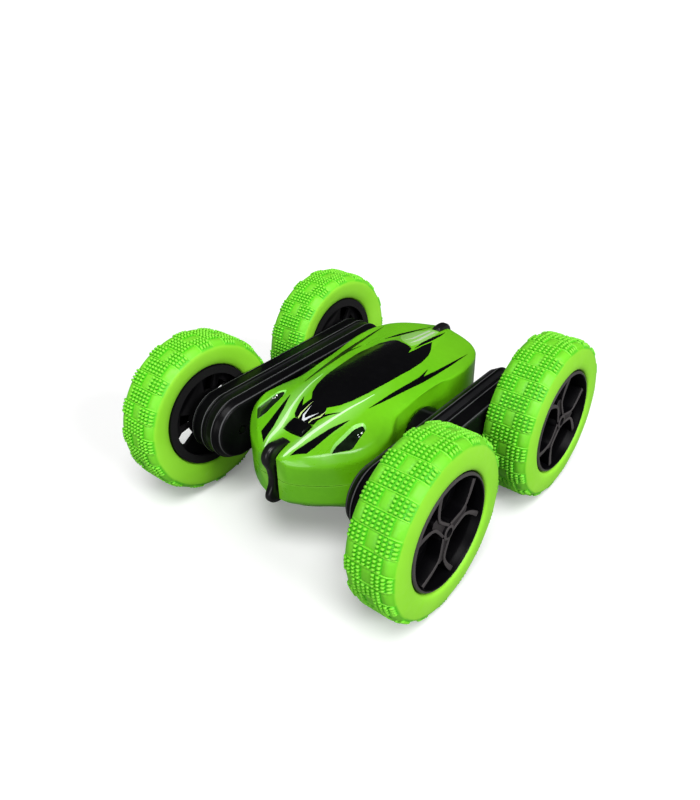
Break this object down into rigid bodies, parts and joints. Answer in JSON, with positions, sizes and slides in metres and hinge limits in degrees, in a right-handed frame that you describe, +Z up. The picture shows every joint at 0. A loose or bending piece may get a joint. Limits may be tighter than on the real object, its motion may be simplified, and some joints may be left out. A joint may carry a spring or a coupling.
{
  "type": "double-sided stunt car",
  "caption": "Palm-size radio-controlled double-sided stunt car: green body pod between swinging gear arms with large nubbed tyres.",
  "frame": {"origin": "centre of the swing-arm pivot axis on the car's centre plane, which is the centre of the bounding box", "axes": "+Z up, -Y towards the nose, +X towards the car's right-hand wheels as seen with the nose at -Y"},
  "size_m": [0.1304, 0.145, 0.065],
  "materials": {
    "lime_shell": "glossy moulded, lime green with black flashes on the finished look",
    "lime_tyre": "soft satin rubber",
    "dark_rim": "glossy near-black",
    "black_plastic": "semi-gloss black",
    "brass_pinion": "machined",
    "white_nylon": "moulded nylon",
    "dark_lens": "glossy dark lens",
    "battery_wrap": "shrink wrap",
    "board_green": "solder mask",
    "switch_black": "moulded",
    "steel": "plain"
  },
  "bodies": {
    "chassis": {"battery_door": "lime_shell", "battery_door_screw": "steel", "battery_pack": "battery_wrap", "circuit_board": "board_green", "front_bumper": "black_plastic", "front_left_shell_screw": "steel", "front_right_shell_screw": "steel", "left_motor": "steel", "lower_hood_scoop": "black_plastic", "lower_left_headlight": "dark_lens", "lower_right_headlight": "dark_lens", "lower_shell": "lime_shell", "power_switch_body": "switch_black", "rear_bumper": "black_plastic", "rear_left_shell_screw": "steel", "rear_right_shell_screw": "steel", "right_motor": "steel", "upper_hood_scoop": "black_plastic", "upper_left_headlight": "dark_lens", "upper_right_headlight": "dark_lens", "upper_shell": "lime_shell"},
    "power_switch": {"power_switch_knob": "switch_black"},
    "right_shaft": {"right_drive_shaft": "steel", "right_shaft_gear": "white_nylon", "right_sun_gear": "white_nylon"},
    "right_pinion": {"right_motor_pinion": "brass_pinion"},
    "right_arm": {"right_arm_inner_cover": "black_plastic", "right_arm_outer_cover": "black_plastic", "right_front_idler_pin": "steel", "right_rear_idler_pin": "steel"},
    "right_front_idler": {"right_front_idler_gear": "white_nylon"},
    "right_front_wheel": {"right_front_wheel_gear": "white_nylon", "right_front_axle": "steel", "right_front_rim": "dark_rim", "right_front_tyre": "lime_tyre"},
    "right_rear_idler": {"right_rear_idler_gear": "white_nylon"},
    "right_rear_wheel": {"right_rear_wheel_gear": "white_nylon", "right_rear_axle": "steel", "right_rear_rim": "dark_rim", "right_rear_tyre": "lime_tyre"},
    "left_shaft": {"left_drive_shaft": "steel", "left_shaft_gear": "white_nylon", "left_sun_gear": "white_nylon"},
    "left_pinion": {"left_motor_pinion": "brass_pinion"},
    "left_arm": {"left_arm_inner_cover": "black_plastic", "left_arm_outer_cover": "black_plastic", "left_front_idler_pin": "steel", "left_rear_idler_pin": "steel"},
    "left_front_idler": {"left_front_idler_gear": "white_nylon"},
    "left_front_wheel": {"left_front_wheel_gear": "white_nylon", "left_front_axle": "steel", "left_front_rim": "dark_rim", "left_front_tyre": "lime_tyre"},
    "left_rear_idler": {"left_rear_idler_gear": "white_nylon"},
    "left_rear_wheel": {"left_rear_wheel_gear": "white_nylon", "left_rear_axle": "steel", "left_rear_rim": "dark_rim", "left_rear_tyre": "lime_tyre"}
  },
  "joints": [
    {"name": "power_switch_slide", "type": "slide", "parent": "chassis", "child": "power_switch", "axis": [0, 1, 0], "range_m": [0, 0.002]},
    {"name": "right_shaft_spin", "type": "hinge", "parent": "chassis", "child": "right_shaft", "pos_m": [0.0176, 0, 0], "axis": [1, 0, 0], "continuous": true},
    {"name": "right_pinion_spin", "type": "hinge", "parent": "chassis", "child": "right_pinion", "pos_m": [0.0176, 0.013, 0], "axis": [1, 0, 0], "continuous": true},
    {"name": "right_arm_swing", "type": "hinge", "parent": "right_shaft", "child": "right_arm", "pos_m": [0.0373, 0, 0], "axis": [1, 0, 0], "continuous": true},
    {"name": "right_front_idler_spin", "type": "hinge", "parent": "right_arm", "child": "right_front_idler", "pos_m": [0.0373, -0.02, 0], "axis": [1, 0, 0], "continuous": true},
    {"name": "right_front_wheel_spin", "type": "hinge", "parent": "right_arm", "child": "right_front_wheel", "pos_m": [0.0553, -0.04, 0], "axis": [1, 0, 0], "continuous": true},
    {"name": "right_rear_idler_spin", "type": "hinge", "parent": "right_arm", "child": "right_rear_idler", "pos_m": [0.0373, 0.02, 0], "axis": [1, 0, 0], "continuous": true},
    {"name": "right_rear_wheel_spin", "type": "hinge", "parent": "right_arm", "child": "right_rear_wheel", "pos_m": [0.0553, 0.04, 0], "axis": [1, 0, 0], "continuous": true},
    {"name": "left_shaft_spin", "type": "hinge", "parent": "chassis", "child": "left_shaft", "pos_m": [-0.0176, 0, 0], "axis": [1, 0, 0], "continuous": true},
    {"name": "left_pinion_spin", "type": "hinge", "parent": "chassis", "child": "left_pinion", "pos_m": [-0.0176, -0.013, 0], "axis": [1, 0, 0], "continuous": true},
    {"name": "left_arm_swing", "type": "hinge", "parent": "left_shaft", "child": "left_arm", "pos_m": [-0.0373, 0, 0], "axis": [1, 0, 0], "continuous": true},
    {"name": "left_front_idler_spin", "type": "hinge", "parent": "left_arm", "child": "left_front_idler", "pos_m": [-0.0373, -0.02, 0], "axis": [1, 0, 0], "continuous": true},
    {"name": "left_front_wheel_spin", "type": "hinge", "parent": "left_arm", "child": "left_front_wheel", "pos_m": [-0.0553, -0.04, 0], "axis": [1, 0, 0], "continuous": true},
    {"name": "left_rear_idler_spin", "type": "hinge", "parent": "left_arm", "child": "left_rear_idler", "pos_m": [-0.0373, 0.02, 0], "axis": [1, 0, 0], "continuous": true},
    {"name": "left_rear_wheel_spin", "type": "hinge", "parent": "left_arm", "child": "left_rear_wheel", "pos_m": [-0.0553, 0.04, 0], "axis": [1, 0, 0], "continuous": true}
  ],
  "couplings": [
    {"joint": "right_pinion_spin", "follows": "right_shaft_spin", "ratio": -2.25},
    {"joint": "right_front_idler_spin", "follows": "right_arm_swing", "ratio": 1},
    {"joint": "right_front_wheel_spin", "follows": "right_arm_swing", "ratio": -1},
    {"joint": "right_rear_idler_spin", "follows": "right_arm_swing", "ratio": 1},
    {"joint": "right_rear_wheel_spin", "follows": "right_arm_swing", "ratio": -1},
    {"joint": "left_pinion_spin", "follows": "left_shaft_spin", "ratio": -2.25},
    {"joint": "left_front_idler_spin", "follows": "left_arm_swing", "ratio": 1},
    {"joint": "left_front_wheel_spin", "follows": "left_arm_swing", "ratio": -1},
    {"joint": "left_rear_idler_spin", "follows": "left_arm_swing", "ratio": 1},
    {"joint": "left_rear_wheel_spin", "follows": "left_arm_swing", "ratio": -1}
  ]
}
